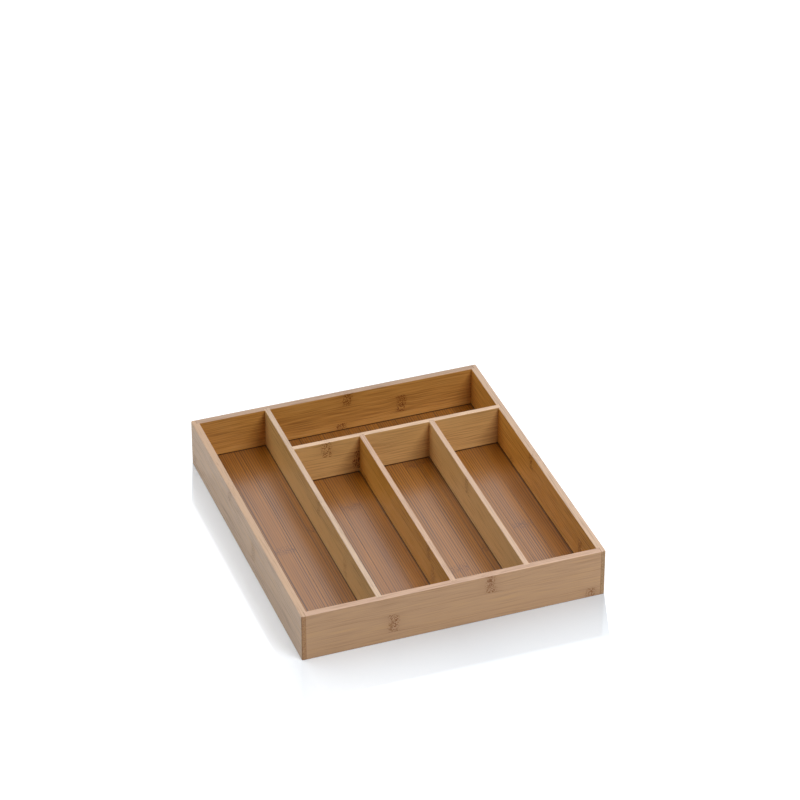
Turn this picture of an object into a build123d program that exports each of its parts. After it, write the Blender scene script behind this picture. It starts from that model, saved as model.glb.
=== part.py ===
from build123d import *
import os

# A bamboo cutlery tray for a kitchen drawer.
#
# Four laminated bamboo walls are joined at the corners with rabbets: each side wall keeps
# a thin lap at its ends, and that lap covers the end of the front or back wall. A panel of
# bamboo strips slides into a groove round the inside, a little above the table. One long
# divider, one cross divider and two short dividers stand on the panel, and their ends are
# let into housings in the boards that they meet. All is glued, then the rim and the outer
# corners are sanded round in one go, so that neighbouring boards share each rounding.
# The edges that meet the panel were eased before gluing, which leaves a dark line round the
# floor of each compartment.
#
# Millimetres. X runs from left to right, Y from front to back and Z up. The origin is on
# the table, under the middle of the tray.

# The outside of the tray
tray_width = 300.0
tray_depth = 340.0
tray_height = 50.0

# The boards
wall_thickness = 7.0
divider_thickness = 5.4
panel_thickness = 5.0
panel_lift = 3.0

# The compartments: equal bays side by side, and one cross compartment behind three of them
bay_count = 4
rear_bay_depth = 69.2

# The joints
wall_joint_depth = 3.0
divider_joint_depth = 1.6
side_clearance = 0.1
panel_edge_gap = 0.5

# The sanded edges
rim_round = 0.9
corner_round = 1.2
foot_round = 0.6

# The edges eased before gluing, where a divider or a wall meets the panel
divider_ease = 0.9
groove_ease = 0.6

# How far a cutter runs past the face that it opens
overrun = 2.0

# Heights
panel_top = panel_lift + panel_thickness

# The faces of the walls, as seen from above
outer_right = tray_width / 2
outer_left = -outer_right
outer_back = tray_depth / 2
outer_front = -outer_back
inner_right = outer_right - wall_thickness
inner_left = outer_left + wall_thickness
inner_back = outer_back - wall_thickness
inner_front = outer_front + wall_thickness
corner_lap = wall_thickness - wall_joint_depth

# The faces of the dividers
bay_width = (inner_right - inner_left - (bay_count - 1) * divider_thickness) / bay_count
bay_pitch = bay_width + divider_thickness
divider_lefts = [inner_left + bay_width + place * bay_pitch for place in range(bay_count - 1)]
long_left, *short_lefts = divider_lefts
long_right = long_left + divider_thickness
cross_back = inner_back - rear_bay_depth
cross_front = cross_back - divider_thickness


def block(x_span, y_span, z_span):
    """A box between three pairs of faces."""
    low, high = zip(x_span, y_span, z_span)
    size = [top - bottom for bottom, top in zip(low, high)]
    return Pos(*low) * Box(*size, align=(Align.MIN, Align.MIN, Align.MIN))


def widened(span, clearance):
    """A span with half of a clearance added at each end."""
    return span[0] - clearance / 2, span[1] + clearance / 2


full_height = (0, tray_height)
above_panel = (panel_top, tray_height + overrun)
groove_heights = (panel_lift, panel_top + side_clearance)


def well(x_span, y_span):
    """The cutter of a compartment or a housing, open at the rim and down to the panel."""
    return block(x_span, y_span, above_panel)


# The plan of the compartments
bay_spans = [(left - bay_width, left) for left in divider_lefts]
bay_spans.append((inner_right - bay_width, inner_right))
compartments = {
    "long": (bay_spans[0], (inner_front, inner_back)),
    "rear": ((long_right, inner_right), (cross_back, inner_back)),
}
for number, span in enumerate(bay_spans[1:], start=1):
    compartments[f"short_{number}"] = (span, (inner_front, cross_front))


def sanded_tray():
    """The glued tray as one body with its edges sanded round: each board is cut from it."""
    body = block((outer_left, outer_right), (outer_front, outer_back), full_height)
    uprights = body.edges().filter_by(Axis.Z)
    body = fillet(uprights, corner_round)
    feet = body.faces().sort_by(Axis.Z)[0].edges()
    body = fillet(feet, foot_round)
    for x_span, y_span in compartments.values():
        body -= well(x_span, y_span)
    rim = body.faces().filter_by(Axis.Z).sort_by(Axis.Z)[-1].edges()
    return fillet(rim, rim_round)


sanded = sanded_tray()


def grooved(wall, slot, lip_point):
    """A wall with the panel's groove cut, and the groove's upper lip eased."""
    wall -= slot
    lip = wall.edges().sort_by_distance(lip_point)[0]
    return fillet(lip, groove_ease)


def side_wall(outer, inner):
    """A side wall: rabbeted at both ends and grooved for the panel."""
    inward = 1 if inner > outer else -1
    shoulder = inner - inward * wall_joint_depth
    past_face = inner + inward * overrun
    cut_span = sorted((shoulder, past_face))
    wall = block(sorted((outer, inner)), (outer_front, outer_back), full_height)
    cut_heights = (-overrun, tray_height + overrun)
    wall -= block(cut_span, (outer_front - overrun, inner_front), cut_heights)
    wall -= block(cut_span, (inner_back, outer_back + overrun), cut_heights)
    slot = block(cut_span, (inner_front - overrun, inner_back + overrun), groove_heights)
    return grooved(wall, slot, (inner, 0, groove_heights[1]))


def end_wall(outer, inner):
    """A front or back wall: it reaches into the rabbets and is grooved for the panel."""
    inward = 1 if inner > outer else -1
    shoulder = inner - inward * wall_joint_depth
    past_face = inner + inward * overrun
    length = (outer_left + corner_lap, outer_right - corner_lap)
    wall = block(length, sorted((outer, inner)), full_height)
    cut_length = (length[0] - overrun, length[1] + overrun)
    slot = block(cut_length, sorted((shoulder, past_face)), groove_heights)
    return grooved(wall, slot, (0, inner, groove_heights[1]))


def divider_board(x_span, y_span, along):
    """A divider that stands on the panel, with its lower long edges eased."""
    board = block(x_span, y_span, (panel_top, tray_height))
    lower_edges = board.edges().filter_by(along).group_by(Axis.Z)[0]
    return fillet(lower_edges, divider_ease)


def divider_along(left, back_end):
    """A divider that runs from the front wall's housing to a housing behind."""
    x_span = (left, left + divider_thickness)
    return divider_board(x_span, (inner_front - wall_joint_depth, back_end), Axis.Y)


def left_wall():
    return side_wall(outer_left, inner_left)


def right_wall():
    wall = side_wall(outer_right, inner_right)
    seat = (inner_right - overrun, inner_right + wall_joint_depth)
    return wall - well(seat, widened((cross_front, cross_back), side_clearance))


def front_wall():
    wall = end_wall(outer_front, inner_front)
    seat = (inner_front - wall_joint_depth, inner_front + overrun)
    for left in divider_lefts:
        slot = widened((left, left + divider_thickness), side_clearance)
        wall -= well(slot, seat)
    return wall


def back_wall():
    wall = end_wall(outer_back, inner_back)
    seat = (inner_back - overrun, inner_back + wall_joint_depth)
    return wall - well(widened((long_left, long_right), side_clearance), seat)


def base_panel():
    """The strip panel, with a gap to the bottom of its groove for the wood to swell into."""
    reach = wall_joint_depth - panel_edge_gap
    x_span = (inner_left - reach, inner_right + reach)
    y_span = (inner_front - reach, inner_back + reach)
    return block(x_span, y_span, (panel_lift, panel_top))


def long_divider():
    board = divider_along(long_left, inner_back + wall_joint_depth)
    seat = (long_right - divider_joint_depth, long_right + overrun)
    return board - well(seat, widened((cross_front, cross_back), side_clearance))


def cross_divider():
    x_span = (long_right - divider_joint_depth, inner_right + wall_joint_depth)
    board = divider_board(x_span, (cross_front, cross_back), Axis.X)
    seat = (cross_front - overrun, cross_front + divider_joint_depth)
    for left in short_lefts:
        slot = widened((left, left + divider_thickness), side_clearance)
        board -= well(slot, seat)
    return board


def short_divider(left):
    return divider_along(left, cross_front + divider_joint_depth)


boards = {
    "left_wall": left_wall(),
    "right_wall": right_wall(),
    "front_wall": front_wall(),
    "back_wall": back_wall(),
    "long_divider": long_divider(),
    "cross_divider": cross_divider(),
}
for number, left in enumerate(short_lefts, start=1):
    boards[f"short_divider_{number}"] = short_divider(left)

os.makedirs("parts", exist_ok=True)
for name, board in boards.items():
    export_step(board & sanded, f"parts/{name}.step")
export_step(base_panel(), "parts/base_panel.step")

print("bay width", round(bay_width, 2), "corner lap", round(corner_lap, 2))
for name, (x_span, y_span) in compartments.items():
    print(name, [round(x, 2) for x in (*x_span, *y_span)], "heights", panel_top, tray_height)
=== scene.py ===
# %% [markdown]
# # A bamboo cutlery tray
# The tray is nine boards of pressed bamboo: four walls, four dividers and a floor panel that sits
# in a groove round the inside. The boards come from the CAD model at their real size. This lesson
# gives them their looks: the bamboo, its clear lacquer, the strips of the floor and the white
# studio around them.

# %% Load the boards
import bpy
import math
from mathutils import Matrix, Vector


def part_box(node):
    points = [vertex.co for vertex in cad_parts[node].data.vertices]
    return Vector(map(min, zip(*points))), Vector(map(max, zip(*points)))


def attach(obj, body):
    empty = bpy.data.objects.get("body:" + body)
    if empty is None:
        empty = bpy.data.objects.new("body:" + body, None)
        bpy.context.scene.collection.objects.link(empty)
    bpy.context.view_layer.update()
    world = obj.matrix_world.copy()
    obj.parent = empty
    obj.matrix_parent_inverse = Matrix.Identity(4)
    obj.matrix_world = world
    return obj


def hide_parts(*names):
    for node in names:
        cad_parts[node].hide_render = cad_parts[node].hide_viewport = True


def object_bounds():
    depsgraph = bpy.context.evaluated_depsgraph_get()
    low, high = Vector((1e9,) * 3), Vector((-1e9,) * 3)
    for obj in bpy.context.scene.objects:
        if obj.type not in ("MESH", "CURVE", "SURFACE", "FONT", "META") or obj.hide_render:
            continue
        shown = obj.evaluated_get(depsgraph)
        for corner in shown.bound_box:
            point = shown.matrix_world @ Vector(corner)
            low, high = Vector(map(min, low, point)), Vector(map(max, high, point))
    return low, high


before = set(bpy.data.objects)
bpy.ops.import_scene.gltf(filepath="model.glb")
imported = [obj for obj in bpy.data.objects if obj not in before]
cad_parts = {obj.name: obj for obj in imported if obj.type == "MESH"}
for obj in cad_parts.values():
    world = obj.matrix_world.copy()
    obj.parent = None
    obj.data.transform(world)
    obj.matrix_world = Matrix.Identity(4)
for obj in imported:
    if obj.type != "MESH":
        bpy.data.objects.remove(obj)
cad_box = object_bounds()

MM = 0.001
scene = bpy.context.scene
tray_low, tray_high = Vector(cad_box[0]), Vector(cad_box[1])
print("boards", sorted(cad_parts))
print("tray, mm", [round(side / MM, 1) for side in tray_high - tray_low])

# %% [markdown]
# ## Two small helpers
# Colours are picked as sRGB hex values, as on a paint card, but shaders count in linear light.
# So one function turns a hex value to linear. A second one adds a node, sets it and fills its
# inputs, and hands back the output that the next node needs. That keeps each node short.

# %% Colours and nodes
def linear(hex_colour):
    """An sRGB hex colour as linear red, green, blue and alpha."""
    parts = [int(hex_colour[place:place + 2], 16) / 255 for place in (1, 3, 5)]
    return *(c / 12.92 if c <= 0.04045 else ((c + 0.055) / 1.055) ** 2.4 for c in parts), 1.0


def add(tree, kind, inputs=None, out=0, **settings):
    """Adds a node with its settings, fills its inputs by name or number, returns one output."""
    node = tree.nodes.new(kind)
    for name, value in settings.items():
        setattr(node, name, value)
    for key, value in (inputs or {}).items():
        if isinstance(value, bpy.types.NodeSocket):
            tree.links.new(value, node.inputs[key])
        else:
            node.inputs[key].default_value = value
    return node.outputs[out] if node.outputs else None


print("middle grey in linear light", round(linear("#808080")[0], 3))

# %% [markdown]
# ## The camera
# A long lens from far off keeps the tray's long edges nearly parallel. The place, the direction
# and the lens were worked out from the tray's straight edges, which run along X, Y and Z. The
# camera stands to the left of the middle and looks down by about a third of a right angle.

# %% Camera
aim_on_table = Vector((81.8, 205.0, 0.0)) * MM
camera_distance = 3609.5 * MM
camera_heading = math.radians(-19.95)
camera_drop = math.radians(33.63)
camera_roll = math.radians(-0.04)
lens_length, film_width = 159.5, 36.0

turn = Matrix.Rotation(camera_heading, 4, "Z")
turn = turn @ Matrix.Rotation(math.pi / 2 - camera_drop, 4, "X")
turn = turn @ Matrix.Rotation(camera_roll, 4, "Z")
camera_place = aim_on_table + turn.to_3x3() @ Vector((0, 0, camera_distance))
camera = bpy.data.objects.new("camera", bpy.data.cameras.new("camera"))
camera.matrix_world = Matrix.Translation(camera_place) @ turn
camera.data.lens = lens_length
camera.data.sensor_width = film_width
camera.data.clip_end = 50.0
scene.collection.objects.link(camera)
scene.camera = camera
print("camera, mm", [round(c / MM) for c in camera.location])

# %% [markdown]
# ## The white room
# The world stands for a white room around the tray. It is pure white where the camera sees it,
# straight or in a gloss, but it lights the tray only faintly, because the softboxes do that work.
# So its strength depends on the kind of ray that asks.

# %% World
scene.view_settings.view_transform = "Standard"
world_fill, world_seen = 0.15, 1.0


def looked_at(tree):
    """1 for rays from the camera, off a gloss or through glass, and 0 for those that light."""
    path = add(tree, "ShaderNodeLightPath").node.outputs
    seen = add(tree, "ShaderNodeMath", {0: path["Is Camera Ray"], 1: path["Is Glossy Ray"]},
               operation="MAXIMUM")
    return add(tree, "ShaderNodeMath", {0: seen, 1: path["Is Transmission Ray"]},
               operation="MAXIMUM")


world = bpy.data.worlds.new("studio")
world.use_nodes = True
world.node_tree.nodes.clear()
tree = world.node_tree
strength = add(tree, "ShaderNodeMapRange", {
    "Value": looked_at(tree), "To Min": world_fill, "To Max": world_seen})
light = add(tree, "ShaderNodeBackground", {"Color": linear("#ffffff"), "Strength": strength})
add(tree, "ShaderNodeOutputWorld", {"Surface": light})
scene.world = world
print("world lights at", world_fill, "and is seen at", world_seen)

# %% [markdown]
# ## Two softboxes
# Two large softboxes hang over the tray, as in a product studio. The one at the front right lights
# the faces that look to the front, and leaves the soft dark wedge at their right ends. The one at
# the back left lights the faces that look to the left, and the shadow in front of the tray comes
# from it. An area lamp that isn't turned shines straight down, which is what both should do.

# %% Softboxes
softbox_height = 1.5


def softbox(name, x_span, y_span, power):
    """A lamp that lies level over the tray, between two x and two y in metres."""
    lamp = bpy.data.lights.new(name, "AREA")
    lamp.shape = "RECTANGLE"
    lamp.size = x_span[1] - x_span[0]
    lamp.size_y = y_span[1] - y_span[0]
    lamp.energy = power
    lamp_object = bpy.data.objects.new(name, lamp)
    lamp_object.location = (sum(x_span) / 2, sum(y_span) / 2, softbox_height)
    scene.collection.objects.link(lamp_object)
    print(name, "power", power, "W")


softbox("softbox_front_right", (0.15, 1.2), (-2.35, -0.75), 41)
softbox("softbox_back_left", (-1.9, -0.2), (0.0, 2.25), 25)

# %% [markdown]
# ## Where the painted shadow lies
# The sheet under the tray is white acrylic. Its glow is painted: it makes the sheet white, and it
# is only faint in a painted shadow of the tray, which falls to the front left. The painted shadow
# is the tray's outline, slid over the table: a place lies in it if it meets the tray when it
# slides back by less than the shadow's whole length. So each pair of the tray's edges gives the
# share of that length at which the place comes under the tray, and the share at which it is past
# it. A place that never comes under it counts as two more lengths away.

# %% Slide each place back to the tray
shadow_length = {"X": 23 * MM, "Y": 70 * MM}
missed_by = 2.0
sheet = bpy.data.materials.new("polished_white_acrylic")
sheet.use_nodes = True
sheet.node_tree.nodes.clear()
tree = sheet.node_tree
place = add(tree, "ShaderNodeTexCoord", out="Object")
place = add(tree, "ShaderNodeSeparateXYZ", {0: place}).node.outputs
slides = []
for axis, edge in (("X", tray_high.x), ("Y", tray_high.y)):
    for side in (-edge, edge):
        slide = add(tree, "ShaderNodeMath", {0: side, 1: place[axis]}, operation="SUBTRACT")
        slides.append(add(tree, "ShaderNodeMath", {0: slide, 1: shadow_length[axis]},
                          operation="DIVIDE"))
enter_x, leave_x, enter_y, leave_y = slides
enter = add(tree, "ShaderNodeMath", {0: enter_x, 1: enter_y}, operation="MAXIMUM")
enter = add(tree, "ShaderNodeMath", {0: enter, 1: 0.0}, operation="MAXIMUM")
leave = add(tree, "ShaderNodeMath", {0: leave_x, 1: leave_y}, operation="MINIMUM")
missed = add(tree, "ShaderNodeMath", {0: enter, 1: leave}, operation="GREATER_THAN")
away = add(tree, "ShaderNodeMath", {0: missed, 1: missed_by, 2: enter}, operation="MULTIPLY_ADD")
print("shadow, mm", {axis: round(length / MM) for axis, length in shadow_length.items()})

# %% [markdown]
# ## The painted shadow in the glow
# The sheet's glow is painted: it grows from the tray to the painted shadow's edge, and steps up
# softly there. Left of the middle it paints the sheet a little lighter as well, and more so in
# front of the tray than behind it. The camera and the glosses alone see this glow, so it adds
# nothing to the boards.

# %% Painted shadow in the glow
painted_shadow_glow_at_tray, painted_shadow_glow_at_edge, glow_outside = 0.085, 0.275, 0.6
shadow_edge = (0.8, 1.15)
painted_left_lightening = 0.11
painted_lightening_behind, painted_lightening_in_front = 0.7, 1.4
# Painted shadow: the glow is faint at the tray and grows to white outside the painted shadow.
painted_shadow_ramp = add(tree, "ShaderNodeMapRange", {
    "Value": away, "To Min": painted_shadow_glow_at_tray, "To Max": painted_shadow_glow_at_edge})
painted_shadow_step_to_white = add(tree, "ShaderNodeMapRange", {
    "Value": away, "From Min": shadow_edge[0], "From Max": shadow_edge[1],
    "To Min": 0.0, "To Max": glow_outside - painted_shadow_glow_at_edge}, interpolation_type="SMOOTHSTEP")
# Painted light: the sheet left of the middle is made lighter, most in front of the tray.
painted_lightening = add(tree, "ShaderNodeMapRange", {
    "Value": place["X"], "From Min": 0.0, "From Max": tray_low.x,
    "To Min": 0.0, "To Max": painted_left_lightening})
painted_lightening_front_share = add(tree, "ShaderNodeMapRange", {
    "Value": place["Y"], "From Min": tray_high.y, "From Max": tray_low.y,
    "To Min": painted_lightening_behind, "To Max": painted_lightening_in_front})
painted_lightening = add(tree, "ShaderNodeMath", {0: painted_lightening, 1: painted_lightening_front_share}, operation="MULTIPLY")
sheet_glow_and_painted_shadow = add(tree, "ShaderNodeMath", {0: painted_shadow_ramp, 1: painted_shadow_step_to_white}, operation="ADD")
sheet_glow_and_painted_shadow = add(tree, "ShaderNodeMath", {0: sheet_glow_and_painted_shadow, 1: painted_lightening}, operation="ADD")
sheet_glow_and_painted_shadow = add(tree, "ShaderNodeMath", {0: looked_at(tree), 1: sheet_glow_and_painted_shadow}, operation="MULTIPLY")
# The light from below printed here is the painted glow.
print("light from below", painted_shadow_glow_at_tray, "at the tray to", glow_outside, "outside its shadow")

# %% [markdown]
# ## The white sheet
# Acrylic is polished until it mirrors what stands on it. Its index is near 1.5, but the real sheet
# mirrors the tray more than that gives, so a higher index stands in for its gloss. A cool white
# under the painted glow keeps the shadow, partly real and partly painted, from turning as warm as
# the wood.

# %% Lay the sheet
sheet_side = 12.0
gloss = add(tree, "ShaderNodeBsdfPrincipled", {
    "Base Color": linear("#dce3ea"), "Roughness": 0.03, "IOR": 1.9,
    "Emission Color": linear("#ffffff"), "Emission Strength": sheet_glow_and_painted_shadow})
add(tree, "ShaderNodeOutputMaterial", {"Surface": gloss})

reach = sheet_side / 2
floor_mesh = bpy.data.meshes.new("floor")
floor_mesh.from_pydata(
    [(-reach, -reach, 0), (reach, -reach, 0), (reach, reach, 0), (-reach, reach, 0)],
    [], [(0, 1, 2, 3)])
floor = bpy.data.objects.new("floor", floor_mesh)
floor.data.materials.append(sheet)
scene.collection.objects.link(floor)
print("sheet", sheet_side, "m wide")

# %% [markdown]
# ## Pressed bamboo
# A wall is a board of flat strips, split from the culm, planed to about 20 mm wide and glued edge
# to edge. So each strip has its own tone, straight fibres run the whole way along it, and every
# 250 mm or so comes a knuckle, where the culm had a joint: a cluster of dark flecks across the
# strip. A flat picture wrapped round the board would stretch at its edges, so the pattern is a
# solid one: it fills the space of the board, and end grain and rim show their own cut of it.
# All the boards share it, so it is a group, and what differs from board to board is an input.

# %% A group for the grain
grain = bpy.data.node_groups.new("pressed_bamboo_grain", "ShaderNodeTree")
board_numbers = ("Board", "Seam Height", "Low Knuckle", "Middle Knuckle", "Top Knuckle", "Low End",
                 "High End", "End Face", "Fleck Depth", "Fibre Depth")
grain.interface.new_socket("Place", in_out="INPUT", socket_type="NodeSocketVector")
for label in board_numbers:
    grain.interface.new_socket(label, in_out="INPUT", socket_type="NodeSocketFloat")
for label in ("Body", "Rim", "End"):
    grain.interface.new_socket(label, in_out="INPUT", socket_type="NodeSocketColor")
grain.interface.new_socket("Colour", in_out="OUTPUT", socket_type="NodeSocketColor")
grain.interface.new_socket("Height", in_out="OUTPUT", socket_type="NodeSocketFloat")
given = add(grain, "NodeGroupInput").node.outputs
print("inputs", [socket.name for socket in given if socket.name])

# %% [markdown]
# ## Strips
# The group works in millimetres: X along the grain, Y through the board and Z up from the table.
# It first finds the strip that a point is in: -1, 0 or 1, counted from the bottom. The board's
# number and the strip's make a key, and the key draws the strip's own tone.

# %% Find the strip
strip_width = 20.0
split = add(grain, "ShaderNodeSeparateXYZ", {0: given["Place"]}).node.outputs
strip_share = add(grain, "ShaderNodeMath", {0: split["Z"], 1: given["Seam Height"]},
                  operation="SUBTRACT")
strip_share = add(grain, "ShaderNodeMath", {0: strip_share, 1: strip_width}, operation="DIVIDE")
strip = add(grain, "ShaderNodeMath", {0: strip_share}, operation="FLOOR")
strip_key = add(grain, "ShaderNodeMath", {0: given["Board"], 1: 10.0, 2: strip},
                operation="MULTIPLY_ADD")
strip_draw = add(grain, "ShaderNodeTexWhiteNoise", {"W": strip_key}, out="Value",
                 noise_dimensions="1D")
print("strips of", strip_width, "mm")

# %% [markdown]
# ## How far it is to the knuckle
# Each strip has its knuckle at a place of its own, so the strip's number chooses one of three
# inputs. A knuckle isn't a straight cut either: a slow noise pushes it to and fro by a few
# millimetres, and the wood around it is a little brown for a finger's width on each side.

# %% Measure to the knuckle
wobble_size, knuckle_wobble = (35.0, 8.0, 8.0), 8.0
knuckle_reach = 18.0
knuckle_at = given["Low Knuckle"]
for number, label in ((0, "Middle Knuckle"), (1, "Top Knuckle")):
    is_this = add(grain, "ShaderNodeMath", {0: strip, 1: number - 0.5}, operation="GREATER_THAN")
    knuckle_at = add(grain, "ShaderNodeMix", {0: is_this, 2: knuckle_at, 3: given[label]})
wobble = add(grain, "ShaderNodeMapping", {
    "Vector": given["Place"], "Scale": [1 / size for size in wobble_size]})
wobble = add(grain, "ShaderNodeTexNoise", {"Vector": wobble, "Scale": 1.0, "Detail": 1.0})
wobble = add(grain, "ShaderNodeMath", {0: wobble, 1: 0.5}, operation="SUBTRACT")
offset = add(grain, "ShaderNodeMath", {0: split["X"], 1: knuckle_at}, operation="SUBTRACT")
offset = add(grain, "ShaderNodeMath", {0: wobble, 1: knuckle_wobble, 2: offset},
             operation="MULTIPLY_ADD")
distance = add(grain, "ShaderNodeMath", {0: offset}, operation="ABSOLUTE")
around = add(grain, "ShaderNodeMapRange", {
    "Value": distance, "From Min": knuckle_reach, "From Max": 0.0, "To Min": 0.0, "To Max": 1.0},
    interpolation_type="SMOOTHSTEP")
print("grain group", len(grain.nodes), "nodes")

# %% [markdown]
# ## Fibres
# Noise that is drawn out along the grain gives the fibres: soft bands of 7 mm, streaks of 1.4 mm
# and fine lines of 0.8 mm. Real fibres are finer, about 0.3 mm, and wouldn't show at this
# distance, so they are drawn as coarse as they need to show. They drift a little, bend as they
# pass a knuckle, and each strip has its own piece of the pattern.

# %% Draw the fibres
knuckle_bend, drift = 9.0, 3.0
strip_jump = 517.0
bend = add(grain, "ShaderNodeMath", {0: around, 1: wobble}, operation="MULTIPLY")
bend = add(grain, "ShaderNodeMath", {0: bend, 1: knuckle_bend, 2: split["Z"]},
           operation="MULTIPLY_ADD")
bend = add(grain, "ShaderNodeMath", {0: wobble, 1: drift, 2: bend}, operation="MULTIPLY_ADD")
shift = add(grain, "ShaderNodeMath", {0: strip_key, 1: strip_jump, 2: split["X"]},
            operation="MULTIPLY_ADD")
bent = add(grain, "ShaderNodeCombineXYZ", {"X": shift, "Y": split["Y"], "Z": bend})


def fibres(along, through, across, detail):
    """Streaks of a given length, depth and width in mm: noise drawn out along the grain."""
    drawn = add(grain, "ShaderNodeMapping", {
        "Vector": bent, "Scale": (1 / along, 1 / through, 1 / across)})
    return add(grain, "ShaderNodeTexNoise", {"Vector": drawn, "Scale": 1.0, "Detail": detail})


broad = fibres(170.0, 9.0, 7.0, 1.0)
streaks = fibres(60.0, 1.8, 1.4, 2.0)
fine = fibres(40.0, 0.9, 0.8, 1.0)
print("grain group", len(grain.nodes), "nodes")

# %% [markdown]
# ## One tone from all of them
# The strip's own tone, the bands, the streaks and the fine lines add up to one tone from 0, dark,
# to 1, pale. Noise stays near its middle, so the fine lines need a large share to be seen at all.

# %% Add up the tone
strip_part, broad_part, streak_part, fine_part = 0.30, 0.14, 0.35, 1.6
darkest, palest = 0.76, 1.64
tone = add(grain, "ShaderNodeMath", {0: strip_draw, 1: strip_part}, operation="MULTIPLY")
for streak, part in ((broad, broad_part), (streaks, streak_part), (fine, fine_part)):
    tone = add(grain, "ShaderNodeMath", {0: streak, 1: part, 2: tone}, operation="MULTIPLY_ADD")
tone = add(grain, "ShaderNodeMapRange", {"Value": tone, "From Min": darkest, "From Max": palest})
print("grain group", len(grain.nodes), "nodes")

# %% [markdown]
# ## Flecks
# A knuckle shows as a cluster of dark flecks about 9 mm wide, each fleck about 1 mm long. They are
# the ends of fibres that turned aside at the joint. A fine noise has a fleck wherever it is above
# its middle, and the flecks are let through only near the knuckle.

# %% Draw the flecks
cluster_end, cluster_full = 6.5, 2.5
browning = 0.16
near = add(grain, "ShaderNodeMapRange", {
    "Value": distance, "From Min": cluster_end, "From Max": cluster_full,
    "To Min": 0.0, "To Max": 1.0}, interpolation_type="SMOOTHSTEP")
flecks = add(grain, "ShaderNodeMapRange", {
    "Value": fibres(1.1, 6.0, 0.8, 1.0), "From Min": 0.5, "From Max": 0.58,
    "To Min": 0.0, "To Max": 1.0}, interpolation_type="SMOOTHSTEP")
flecks = add(grain, "ShaderNodeMath", {0: flecks, 1: near}, operation="MULTIPLY")
knuckle = add(grain, "ShaderNodeMath", {0: around, 1: browning, 2: flecks},
              operation="MULTIPLY_ADD")
knuckle = add(grain, "ShaderNodeMath", {0: knuckle, 1: given["Fleck Depth"]},
              operation="MULTIPLY")
print("grain group", len(grain.nodes), "nodes")

# %% [markdown]
# ## Seams and joints
# The seam between strips is a hairline of dark glue, and so is the joint at a board's end, where
# it meets the next board. Both are finer than 0.1 mm on the real tray and are drawn about 0.5 mm
# wide so that they show. A free end face has no joint on it, so it is left out there.

# %% Draw the seams and joints
seam_width, seam_depth = 0.5, 0.22
joint_width = 0.45
to_seam = add(grain, "ShaderNodeMath", {0: strip_share}, operation="FRACT")
to_seam = add(grain, "ShaderNodeMath", {0: to_seam, 1: 0.5}, operation="SUBTRACT")
to_seam = add(grain, "ShaderNodeMath", {0: to_seam}, operation="ABSOLUTE")
seam = add(grain, "ShaderNodeMath", {0: to_seam, 1: 0.5 - seam_width / 2 / strip_width},
           operation="GREATER_THAN")
dark = add(grain, "ShaderNodeMath", {0: seam, 1: seam_depth, 2: knuckle},
           operation="MULTIPLY_ADD")

from_low = add(grain, "ShaderNodeMath", {0: split["X"], 1: given["Low End"]},
               operation="SUBTRACT")
from_high = add(grain, "ShaderNodeMath", {0: given["High End"], 1: split["X"]},
                operation="SUBTRACT")
from_end = add(grain, "ShaderNodeMath", {0: from_low, 1: from_high}, operation="MINIMUM")
joint = add(grain, "ShaderNodeMath", {0: from_end, 1: joint_width}, operation="LESS_THAN")
long_face = add(grain, "ShaderNodeMath", {0: 1.0, 1: given["End Face"]}, operation="SUBTRACT")
joint = add(grain, "ShaderNodeMath", {0: joint, 1: long_face}, operation="MULTIPLY")
print("grain group", len(grain.nodes), "nodes")

# %% [markdown]
# ## Rim and crevice
# Which way a face looks picks out two places. What looks up is the rim, which was sanded last,
# so it has hardly a fleck. What looks down is the eased lower edge over the floor, and it is
# painted nearly black there, as painted shade in that crevice.

# %% Find the rim and the crevice
rim_flecks = 0.15
joint_depth, crevice_shade_depth = 0.45, 0.8
normal = add(grain, "ShaderNodeNewGeometry", out="Normal")
facing = add(grain, "ShaderNodeSeparateXYZ", {0: normal}).node.outputs
on_rim = add(grain, "ShaderNodeMapRange", {
    "Value": facing["Z"], "From Min": 0.2, "From Max": 0.8}, interpolation_type="SMOOTHSTEP")
off_rim = add(grain, "ShaderNodeMapRange", {"Value": on_rim, "To Min": 1.0, "To Max": rim_flecks})
# Painted shade: faces that look down are darkened nearly to black.
crevice_painted_shade = add(grain, "ShaderNodeMapRange", {
    "Value": facing["Z"], "From Min": -0.05, "From Max": -0.35})
dark = add(grain, "ShaderNodeMath", {0: dark, 1: off_rim}, operation="MULTIPLY")
dark = add(grain, "ShaderNodeMath", {0: joint, 1: joint_depth, 2: dark},
           operation="MULTIPLY_ADD")
dark = add(grain, "ShaderNodeMath", {0: crevice_painted_shade, 1: crevice_shade_depth, 2: dark},
           operation="MULTIPLY_ADD")
dark = add(grain, "ShaderNodeMath", {0: dark, 1: 1.0}, operation="MINIMUM")
print("grain group", len(grain.nodes), "nodes")

# %% [markdown]
# ## The colours of the grain
# The wood's own tone comes first: the board's for its faces, a darker one for end grain, which
# drinks the lacquer, and a pale creamy one for the rim, which is partly painted light, since the
# top catches the most. Then fibres darker or paler than that are laid over it, as deep as the
# board's input says or evenly faint on the sanded rim, and last one dark brown for flecks, seams,
# joints and the painted shade of the crevice.

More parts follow.
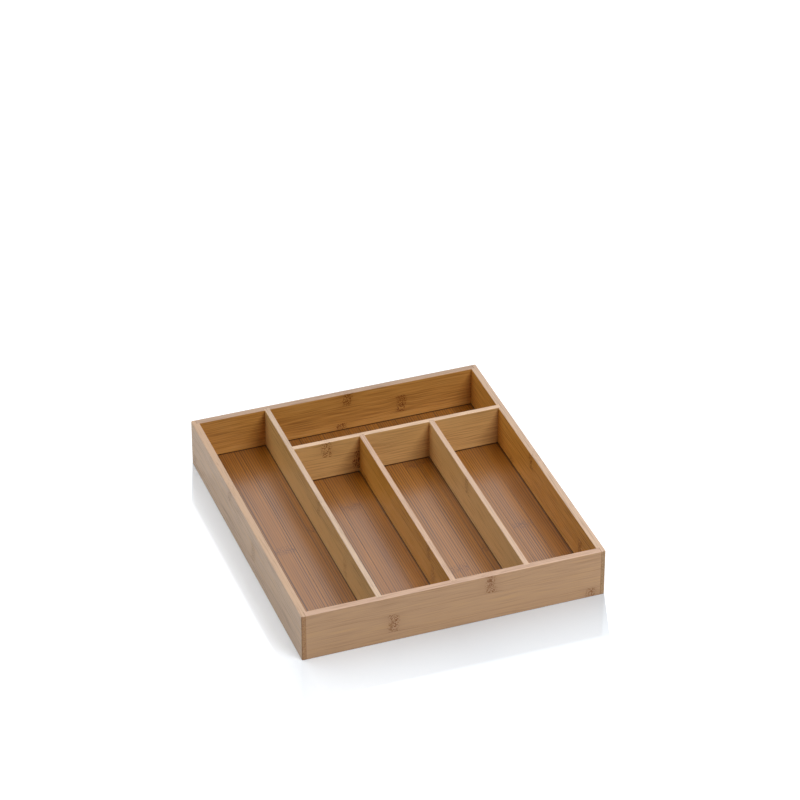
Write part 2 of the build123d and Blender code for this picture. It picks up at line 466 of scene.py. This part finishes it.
# %% Colour the grain
dark_fibre, pale_fibre = linear("#6a3c14"), linear("#ddaf6c")
knuckle_seam_and_shade_brown = linear("#6e3603")
rim_fibres = 0.65
darkening, paling = 0.45, 0.35
end_share = add(grain, "ShaderNodeMapRange", {
    "Value": given["End Face"], "From Min": 0.1, "From Max": 0.5})
wood = add(grain, "ShaderNodeMix", {0: end_share, 6: given["Body"], 7: given["End"]}, out=2,
           data_type="RGBA")
wood = add(grain, "ShaderNodeMix", {0: on_rim, 6: wood, 7: given["Rim"]}, out=2,
           data_type="RGBA")
grain_depth = add(grain, "ShaderNodeMapRange", {
    "Value": on_rim, "To Min": given["Fibre Depth"], "To Max": rim_fibres})
for end_tone, most, fibre in ((0.0, darkening, dark_fibre), (1.0, paling, pale_fibre)):
    share = add(grain, "ShaderNodeMapRange", {
        "Value": tone, "From Min": 0.5, "From Max": end_tone, "To Min": 0.0, "To Max": most})
    share = add(grain, "ShaderNodeMath", {0: share, 1: grain_depth}, operation="MULTIPLY")
    wood = add(grain, "ShaderNodeMix", {0: share, 6: wood, 7: fibre}, out=2, data_type="RGBA")
# This brown darkens the flecks, seams and joints, and also gives the crevice its painted shade.
wood = add(grain, "ShaderNodeMix", {0: dark, 6: wood, 7: knuckle_seam_and_shade_brown}, out=2,
           data_type="RGBA")
print("grain group", len(grain.nodes), "nodes")

# %% [markdown]
# ## The relief of the grain
# Lacquer sinks a little into the fibres and more into the flecks. The group hands out that height
# beside the colour, and each board's finish turns it into a bump.

# %% Hand out colour and height
fleck_sink = -0.6
height = add(grain, "ShaderNodeMath", {0: fine, 1: streaks}, operation="ADD")
height = add(grain, "ShaderNodeMath", {0: knuckle, 1: fleck_sink, 2: height},
             operation="MULTIPLY_ADD")
add(grain, "NodeGroupOutput", {"Colour": wood, "Height": height})
print("grain group", len(grain.nodes), "nodes")

# %% [markdown]
# ## Eight boards of one wood
# All the boards are the same product, but bamboo is steamed in batches, so one board is more
# golden than the next. Each tone is matched to how its face and rim look under these lamps, so
# part of it is painted light: the left wall's greyer, paler face holds a painted sheen, and the
# rims are paler partly for the light that falls on the top. The table gives each board the axis of
# its grain, the height of its lowest seam, the places of its knuckles along the low, middle and
# top strip (in mm from the tray's middle), how dark its flecks and its fibres are, and the tones
# of its faces and its rim. End grain shows only on the side walls, at the four corners.

# %% The boards
boards = {
    "front_wall": ("X", 10.0, (136.0, -61.0, 35.0), 0.65, 0.6, "#ba9573", "#e4c1a8"),
    "back_wall": ("X", 15.5, (4.0, 67.0, 10.0), 1.0, 1.15, "#c79049", "#d0b29b"),
    # The left wall's greyer, paler tone is partly a painted sheen.
    "left_wall": ("Y", 15.0, (160.0, -27.0, 44.0), 0.35, 0.9, "#d4b69b", "#debda1"),
    "right_wall": ("Y", 13.0, (53.0, -125.0, 1.0), 0.6, 1.1, "#daa04b", "#e9cab0"),
    "long_divider": ("Y", 12.0, (190.0, -77.0, -1.0), 0.3, 0.9, "#ddb979", "#e7cbb2"),
    "cross_divider": ("X", 12.5, (190.0, -4.0, -37.0), 0.8, 0.9, "#d1a76c", "#f9d8ba"),
    "short_divider_1": ("Y", 14.0, (71.0, -117.0, -105.0), 0.5, 1.0, "#d09c4a", "#e8c5ab"),
    "short_divider_2": ("Y", 12.0, (64.0, 210.0, -15.0), 0.4, 1.0, "#e2bd7f", "#eacab1"),
}
end_grain = {"left_wall": "#a57d5b", "right_wall": "#ab8c6a"}
print(len(boards), "boards")

# %% [markdown]
# ## Satin lacquer
# The boards have a thin satin lacquer. It gives the eye a soft, wide gloss that hides none of the
# wood's colour, so it is a weak coat over a base without a gloss of its own. The Mapping node
# turns a board's place to millimetres and its grain to the X axis, as the group expects.

# %% The finish of a board
def lacquered_board(node, number):
    """The material of one board: its cut of the grain under satin lacquer."""
    axis, seam, knuckles, fleck_depth, fibre_depth, body, rim = boards[node]
    low_end, high_end = (corner["XY".index(axis)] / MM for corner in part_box(node))
    material = bpy.data.materials.new("pressed_lacquered_bamboo_" + node)
    material.use_nodes = True
    material.node_tree.nodes.clear()
    tree = material.node_tree
    point = add(tree, "ShaderNodeTexCoord", out="Object")
    quarter = -math.pi / 2 if axis == "Y" else 0.0
    place = add(tree, "ShaderNodeMapping", {
        "Vector": point, "Rotation": (0, 0, quarter), "Scale": (1 / MM, 1 / MM, 1 / MM)})
    normal = add(tree, "ShaderNodeNewGeometry", out="Normal")
    along = add(tree, "ShaderNodeSeparateXYZ", {0: normal}, out=axis)
    end_face = add(tree, "ShaderNodeMath", {0: along}, operation="ABSOLUTE")
    cut = add(tree, "ShaderNodeGroup", {
        "Place": place, "Board": number, "Seam Height": seam, "Low Knuckle": knuckles[0],
        "Middle Knuckle": knuckles[1], "Top Knuckle": knuckles[2], "Low End": low_end,
        "High End": high_end, "End Face": end_face, "Fleck Depth": fleck_depth,
        "Fibre Depth": fibre_depth, "Body": linear(body), "Rim": linear(rim),
        "End": linear(end_grain.get(node, body))}, node_tree=grain).node.outputs
    bump = add(tree, "ShaderNodeBump", {
        "Strength": 0.25, "Distance": 0.05 * MM, "Height": cut["Height"]})
    surface = add(tree, "ShaderNodeBsdfPrincipled", {
        "Base Color": cut["Colour"], "Roughness": 0.45, "IOR": 1.5, "Specular IOR Level": 0.0,
        "Coat Weight": 0.3, "Coat Roughness": 0.25, "Normal": bump})
    add(tree, "ShaderNodeOutputMaterial", {"Surface": surface})
    return material


for number, node in enumerate(boards, start=1):
    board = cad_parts[node]
    board.data.materials.clear()
    board.data.materials.append(lacquered_board(node, number))
    print(node, "tone", boards[node][5])

# %% [markdown]
# ## The floor panel
# The floor is a thin board of the same kind, laid flat: its strips are 21 mm wide, run from front
# to back, and each keeps the tone of its own piece of culm. That is one strip repeated, which
# Geometry Nodes do well: a strip is drawn once as a section along a line, and copies go on a row
# of points. This cell draws the one strip, with edges eased just enough to leave a hairline.

# %% One strip of the floor
panel_low, panel_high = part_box("base_panel")
panel_size = panel_high - panel_low
strip_count = 14
strip_pitch = panel_size.x / strip_count
strip_ease = 0.1 * MM

strip_row = bpy.data.node_groups.new("row_of_strips", "GeometryNodeTree")
strip_inputs = {"Width": "Float", "Length": "Float", "Thickness": "Float", "Ease": "Float",
                "Count": "Int", "Start": "Vector", "Finish": "Material"}
for label, kind in strip_inputs.items():
    strip_row.interface.new_socket(label, in_out="INPUT", socket_type="NodeSocket" + kind)
strip_row.interface.new_socket("Geometry", in_out="OUTPUT", socket_type="NodeSocketGeometry")
given = add(strip_row, "NodeGroupInput").node.outputs
half = add(strip_row, "ShaderNodeMath", {0: given["Length"], 1: 0.5}, operation="MULTIPLY")
back = add(strip_row, "ShaderNodeCombineXYZ", {"Y": half})
front = add(strip_row, "ShaderNodeVectorMath", {0: back, "Scale": -1.0}, operation="SCALE")
line = add(strip_row, "GeometryNodeCurvePrimitiveLine", {"Start": front, "End": back})
section = add(strip_row, "GeometryNodeCurvePrimitiveQuadrilateral", {
    "Width": given["Width"], "Height": given["Thickness"]})
section = add(strip_row, "GeometryNodeFilletCurve", {
    "Curve": section, "Count": 1, "Radius": given["Ease"]}, mode="POLY")
strip_shape = add(strip_row, "GeometryNodeCurveToMesh", {
    "Curve": line, "Profile Curve": section, "Fill Caps": True})
print("strip width, mm", round(strip_pitch / MM, 2))

# %% [markdown]
# ## A row of strips
# The copies stand edge to edge on a line of points. Each keeps its number as an attribute, from
# which the finish takes the strip's tone and the place of its knuckle. The copies are made real
# at the end, because an export drops instances.

# %% Repeat the strip
step = add(strip_row, "ShaderNodeCombineXYZ", {"X": given["Width"]})
points = add(strip_row, "GeometryNodeMeshLine", {
    "Count": given["Count"], "Start Location": given["Start"], "Offset": step})
strips = add(strip_row, "GeometryNodeInstanceOnPoints", {
    "Points": points, "Instance": strip_shape})
number = add(strip_row, "GeometryNodeInputIndex")
strips = add(strip_row, "GeometryNodeStoreNamedAttribute", {
    "Geometry": strips, "Name": "strip_number", "Value": number},
    data_type="FLOAT", domain="INSTANCE")
strips = add(strip_row, "GeometryNodeRealizeInstances", {"Geometry": strips})
strips = add(strip_row, "GeometryNodeSetShadeSmooth", {
    "Geometry": strips, "Shade Smooth": False})
strips = add(strip_row, "GeometryNodeSetMaterial", {
    "Geometry": strips, "Material": given["Finish"]})
add(strip_row, "NodeGroupOutput", {"Geometry": strips})
print("row of strips", len(strip_row.nodes), "nodes")

# %% [markdown]
# ## A tone for each strip of the floor
# Steps of the golden section give each strip a number between 0 and 1 that differs well from its
# neighbour's. That number is its tone, and it also slides the strip's fibres along, so that no
# two strips show the same piece of the pattern.

# %% Draw a number for each strip
golden_step = 0.618
strip_slide = 3000.0
panel_finish = bpy.data.materials.new("pressed_gloss_lacquered_bamboo_floor")
panel_finish.use_nodes = True
panel_finish.node_tree.nodes.clear()
finish = panel_finish.node_tree
strip_number = add(finish, "ShaderNodeAttribute", out="Fac", attribute_name="strip_number")
draw = add(finish, "ShaderNodeMath", {0: strip_number, 1: golden_step}, operation="MULTIPLY")
draw = add(finish, "ShaderNodeMath", {0: draw}, operation="FRACT")
point = add(finish, "ShaderNodeTexCoord", out="Object")
point = add(finish, "ShaderNodeMapping", {
    "Vector": point, "Scale": (1 / MM, 1 / MM, 1 / MM)})
place = add(finish, "ShaderNodeSeparateXYZ", {0: point}).node.outputs
shift = add(finish, "ShaderNodeMath", {0: draw, 1: strip_slide}, operation="MULTIPLY")
shift = add(finish, "ShaderNodeCombineXYZ", {"Y": shift})
drawn_point = add(finish, "ShaderNodeVectorMath", {0: point, 1: shift}, operation="ADD")
print("tones of the first strips", [round(n * golden_step % 1, 2) for n in range(5)])

# %% [markdown]
# ## The floor's fibres
# The panel is planed less finely than the boards, and its fibres show as crisp dark lines. The
# real ones lie about 1 mm apart. They are drawn 2.5 mm apart, as coarse as they need to show. A
# sine wave across the strips gives the lines, a slow noise moves its phase, so that they wander
# and crowd together as fibres do, and another makes one line bolder than the next.

# %% Fibres of the panel
line_pitch = 2.5
line_wander = 9.0
faintest_line, boldest_line = 0.35, 1.0


def floor_streaks(across, along, detail):
    """Streaks of a given width and length in mm, along the panel's strips."""
    drawn = add(finish, "ShaderNodeMapping", {
        "Vector": drawn_point, "Scale": (1 / across, 1 / along, 1 / 5.0)})
    return add(finish, "ShaderNodeTexNoise", {"Vector": drawn, "Scale": 1.0, "Detail": detail})


wander = floor_streaks(5.0, 200.0, 1.0)
lines = add(finish, "ShaderNodeMath", {0: place["X"], 1: 2 * math.pi / line_pitch},
            operation="MULTIPLY")
lines = add(finish, "ShaderNodeMath", {0: wander, 1: line_wander, 2: lines},
            operation="MULTIPLY_ADD")
lines = add(finish, "ShaderNodeMath", {0: lines}, operation="SINE")
clouds = floor_streaks(12.0, 60.0, 1.0)
crisp = add(finish, "ShaderNodeMapRange", {"Value": lines, "From Min": -0.3, "From Max": 0.9})
bold = add(finish, "ShaderNodeMapRange", {
    "Value": floor_streaks(6.0, 150.0, 1.0), "From Min": 0.35, "From Max": 0.65,
    "To Min": faintest_line, "To Max": boldest_line})
dark = add(finish, "ShaderNodeMath", {0: crisp, 1: bold}, operation="MULTIPLY")
print("panel finish", len(finish.nodes), "nodes")

# %% [markdown]
# ## The floor's knuckles
# Each strip crosses one knuckle, and the next strip has its knuckle somewhere else. On the floor
# it shows as a cluster of short dark dashes along the grain, with a faint line across the strip
# in their midst. A ragged noise keeps both from lying straight.

# %% Knuckles of the panel
knuckle_step, first_knuckle = 0.535, 0.941
knuckle_span = (330.0, -165.0)
ragged_by = 9.0
knuckle_at = add(finish, "ShaderNodeMath", {
    0: strip_number, 1: knuckle_step, 2: first_knuckle}, operation="MULTIPLY_ADD")
knuckle_at = add(finish, "ShaderNodeMath", {0: knuckle_at}, operation="FRACT")
knuckle_at = add(finish, "ShaderNodeMath", {
    0: knuckle_at, 1: knuckle_span[0], 2: knuckle_span[1]}, operation="MULTIPLY_ADD")
ragged = add(finish, "ShaderNodeTexNoise", {"Vector": point, "Scale": 0.3, "Detail": 2.0})
ragged = add(finish, "ShaderNodeMath", {0: ragged, 1: ragged_by, 2: place["Y"]},
             operation="MULTIPLY_ADD")
off_knuckle = add(finish, "ShaderNodeMath", {0: ragged, 1: knuckle_at}, operation="SUBTRACT")
off_knuckle = add(finish, "ShaderNodeMath", {0: off_knuckle}, operation="ABSOLUTE")
ring = add(finish, "ShaderNodeMapRange", {
    "Value": off_knuckle, "From Min": 1.4, "From Max": 0.4, "To Min": 0.0, "To Max": 0.15})
near = add(finish, "ShaderNodeMapRange", {
    "Value": off_knuckle, "From Min": 7.5, "From Max": 3.0, "To Min": 0.0, "To Max": 0.8})
flecks = add(finish, "ShaderNodeMapRange", {
    "Value": floor_streaks(0.8, 1.5, 1.0), "From Min": 0.5, "From Max": 0.6})
flecks = add(finish, "ShaderNodeMath", {0: flecks, 1: near, 2: ring}, operation="MULTIPLY_ADD")
print("panel finish", len(finish.nodes), "nodes")

# %% [markdown]
# ## The floor's seams
# A hairline marks the edge of each strip, where the glue shows. It is drawn 0.6 mm wide so that
# it can be seen, and it adds to the fibres' lines.

# %% Seams of the panel
hairline_width, hairline_depth = 0.6 * MM, 0.5
line_depth = 0.9
across = add(finish, "ShaderNodeMath", {0: place["X"], 1: panel_low.x / MM},
             operation="SUBTRACT")
across = add(finish, "ShaderNodeMath", {0: across, 1: strip_pitch / MM}, operation="DIVIDE")
across = add(finish, "ShaderNodeMath", {0: across}, operation="FRACT")
hairline = add(finish, "ShaderNodeMath", {0: across, 1: hairline_width / strip_pitch},
               operation="LESS_THAN")
dark = add(finish, "ShaderNodeMath", {0: dark, 1: line_depth}, operation="MULTIPLY")
dark = add(finish, "ShaderNodeMath", {0: hairline, 1: hairline_depth, 2: dark},
           operation="MULTIPLY_ADD")
dark = add(finish, "ShaderNodeMath", {0: dark, 1: 1.0}, operation="MINIMUM")
print("panel finish", len(finish.nodes), "nodes")

# %% [markdown]
# ## Painted shade round the boards
# A dark line of painted shade is drawn on the panel along every board that stands on it, where
# the crease between them lies in shade. The distance to a board's outline is the larger of its
# distances along X and along Y, and the nearest of the eight boards counts.

# %% A line of painted shade
def outside(axis, low, high):
    """How many mm a place lies outside a span along one axis, and negative inside it."""
    away = add(finish, "ShaderNodeMath", {0: place[axis], 1: (low + high) / 2 / MM},
               operation="SUBTRACT")
    away = add(finish, "ShaderNodeMath", {0: away}, operation="ABSOLUTE")
    return add(finish, "ShaderNodeMath", {0: away, 1: (high - low) / 2 / MM},
               operation="SUBTRACT")


to_board = None
for node in boards:
    low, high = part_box(node)
    off_x, off_y = outside("X", low.x, high.x), outside("Y", low.y, high.y)
    off_board = add(finish, "ShaderNodeMath", {0: off_x, 1: off_y}, operation="MAXIMUM")
    if to_board:
        off_board = add(finish, "ShaderNodeMath", {0: to_board, 1: off_board},
                        operation="MINIMUM")
    to_board = off_board
# Painted shade: nearly black within about a millimetre of each board.
board_foot_painted_shade = add(finish, "ShaderNodeMapRange", {
    "Value": to_board, "From Min": 1.3, "From Max": 0.7, "To Min": 0.0, "To Max": 0.8})
print("panel finish", len(finish.nodes), "nodes")

# %% [markdown]
# ## The colours of the floor
# The strip's own number and soft clouds along the grain give the wood its tone. The dark lines,
# the warmer brown of the knuckles and the painted shade along the boards' feet, which is nearly
# black, go over it in that order.

# %% Colour the panel
strip_part, cloud_part = 0.25, 0.7
darkest, palest = -0.07, 0.97
tone = add(finish, "ShaderNodeMath", {0: draw, 1: strip_part}, operation="MULTIPLY")
tone = add(finish, "ShaderNodeMath", {0: clouds, 1: cloud_part, 2: tone},
           operation="MULTIPLY_ADD")
tone = add(finish, "ShaderNodeMapRange", {
    "Value": tone, "From Min": darkest, "From Max": palest})
colour = add(finish, "ShaderNodeMix", {0: tone, 6: linear("#875011"), 7: linear("#b9791f")},
             out=2, data_type="RGBA")
# The nearly black brown is the painted shade along the boards' feet.
for share, brown in ((dark, "#4a260a"), (flecks, "#5e3010"), (board_foot_painted_shade, "#2a180b")):
    colour = add(finish, "ShaderNodeMix", {0: share, 6: colour, 7: linear(brown)}, out=2,
                 data_type="RGBA")
print("panel finish", len(finish.nodes), "nodes")

# %% [markdown]
# ## Semi-gloss lacquer
# The floor's lacquer is thicker and glossier than the boards'. Near a divider it mirrors the
# divider, and elsewhere the white of the studio lies over it as a pale haze. A real lacquer has
# an index near 1.5 under a studio brighter than white paper. Here the studio is no brighter than
# that, so a higher index gives the haze its strength.

# %% The finish of the panel
bump = add(finish, "ShaderNodeBump", {
    "Strength": 0.2, "Distance": 0.05 * MM, "Height": lines})
surface = add(finish, "ShaderNodeBsdfPrincipled", {
    "Base Color": colour, "Roughness": 0.4, "IOR": 1.5, "Specular IOR Level": 0.0,
    "Coat Weight": 1.0, "Coat Roughness": 0.28, "Coat IOR": 2.1, "Normal": bump})
add(finish, "ShaderNodeOutputMaterial", {"Surface": surface})
print("panel finish", len(finish.nodes), "nodes")

# %% [markdown]
# ## Making the panel
# The tree runs once on an empty source object, and its result is kept as a plain mesh, so that
# no modifier is left. The panel takes the place of the CAD model's plain one, and fills the same
# box. It rides on the tray's only body.

# %% Make the panel
source = bpy.data.objects.new("panel_source", bpy.data.meshes.new("panel_source"))
scene.collection.objects.link(source)
maker = source.modifiers.new("strips", "NODES")
maker.node_group = strip_row
first_place = (panel_low + panel_high) / 2
first_place.x = panel_low.x + strip_pitch / 2
sizes = {"Width": strip_pitch, "Length": panel_size.y, "Thickness": panel_size.z,
         "Ease": strip_ease, "Count": strip_count, "Start": first_place, "Finish": panel_finish}
for item in strip_row.interface.items_tree:
    if item.name in sizes:
        maker[item.identifier] = sizes[item.name]
bpy.context.view_layer.update()
evaluated = source.evaluated_get(bpy.context.evaluated_depsgraph_get())
panel = bpy.data.objects.new("strip_panel", bpy.data.meshes.new_from_object(evaluated))
scene.collection.objects.link(panel)
bpy.data.objects.remove(source)
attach(panel, "root")
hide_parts("base_panel")
corners = [Vector(corner) for corner in panel.bound_box]
print("panel, mm", [round(v / MM, 2) for v in (*corners[0], *corners[6])],
      len(panel.data.polygons), "faces")
